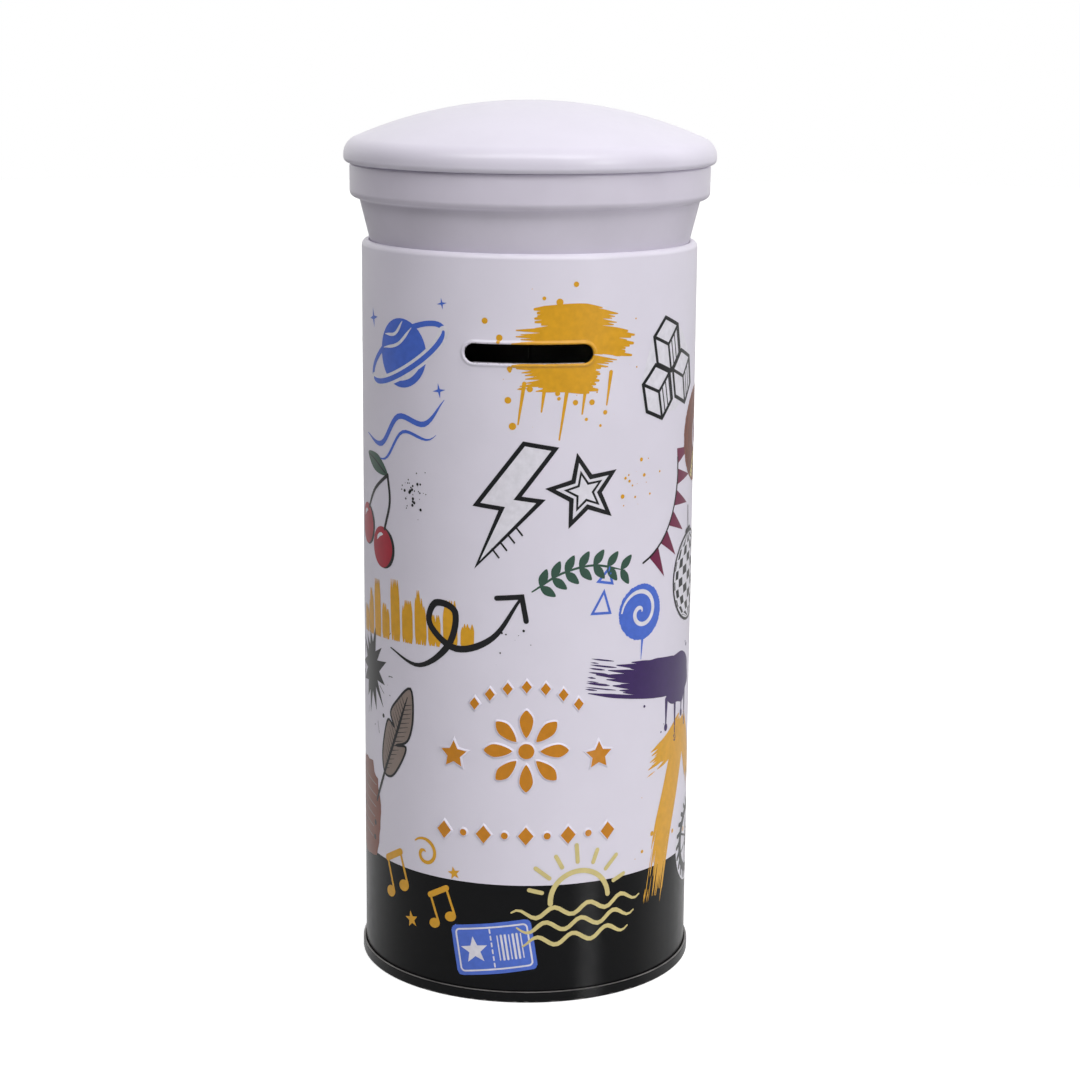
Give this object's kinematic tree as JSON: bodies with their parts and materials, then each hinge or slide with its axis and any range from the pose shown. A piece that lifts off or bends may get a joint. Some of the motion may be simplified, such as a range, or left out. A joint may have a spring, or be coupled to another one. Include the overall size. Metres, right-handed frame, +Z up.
{
  "type": "tin money box",
  "caption": "Round pillar-shaped tinplate money box with a slot for coins in its front wall, a flared collar and a domed plug lid that lifts off.",
  "frame": {"origin": "centre of the circle that the tin stands on, at the height of its lowest edge", "axes": "+Z up along the tin's axis; -Y towards the coin slot at the front; +X to the right as seen from the front"},
  "size_m": [0.094, 0.094, 0.2231],
  "materials": {
    "body_lacquer": "printed gloss lacquer, pale lavender white",
    "base_lacquer": "gloss black lacquer",
    "collar_lacquer": "gloss lacquer, pale lavender grey",
    "lid_lacquer": "gloss lacquer, pale lavender white",
    "bare_tinplate": "bright bare tinplate with rolling marks"
  },
  "bodies": {
    "box": {"body_tube": "body_lacquer", "base_end": "base_lacquer", "collar": "collar_lacquer"},
    "lid": {"dome_cap": "lid_lacquer", "plug_ring": "bare_tinplate"}
  },
  "joints": [
    {"name": "lid_lift", "type": "slide", "parent": "box", "child": "lid", "axis": [0, 0, 1], "range_m": [0, 0.05]}
  ]
}
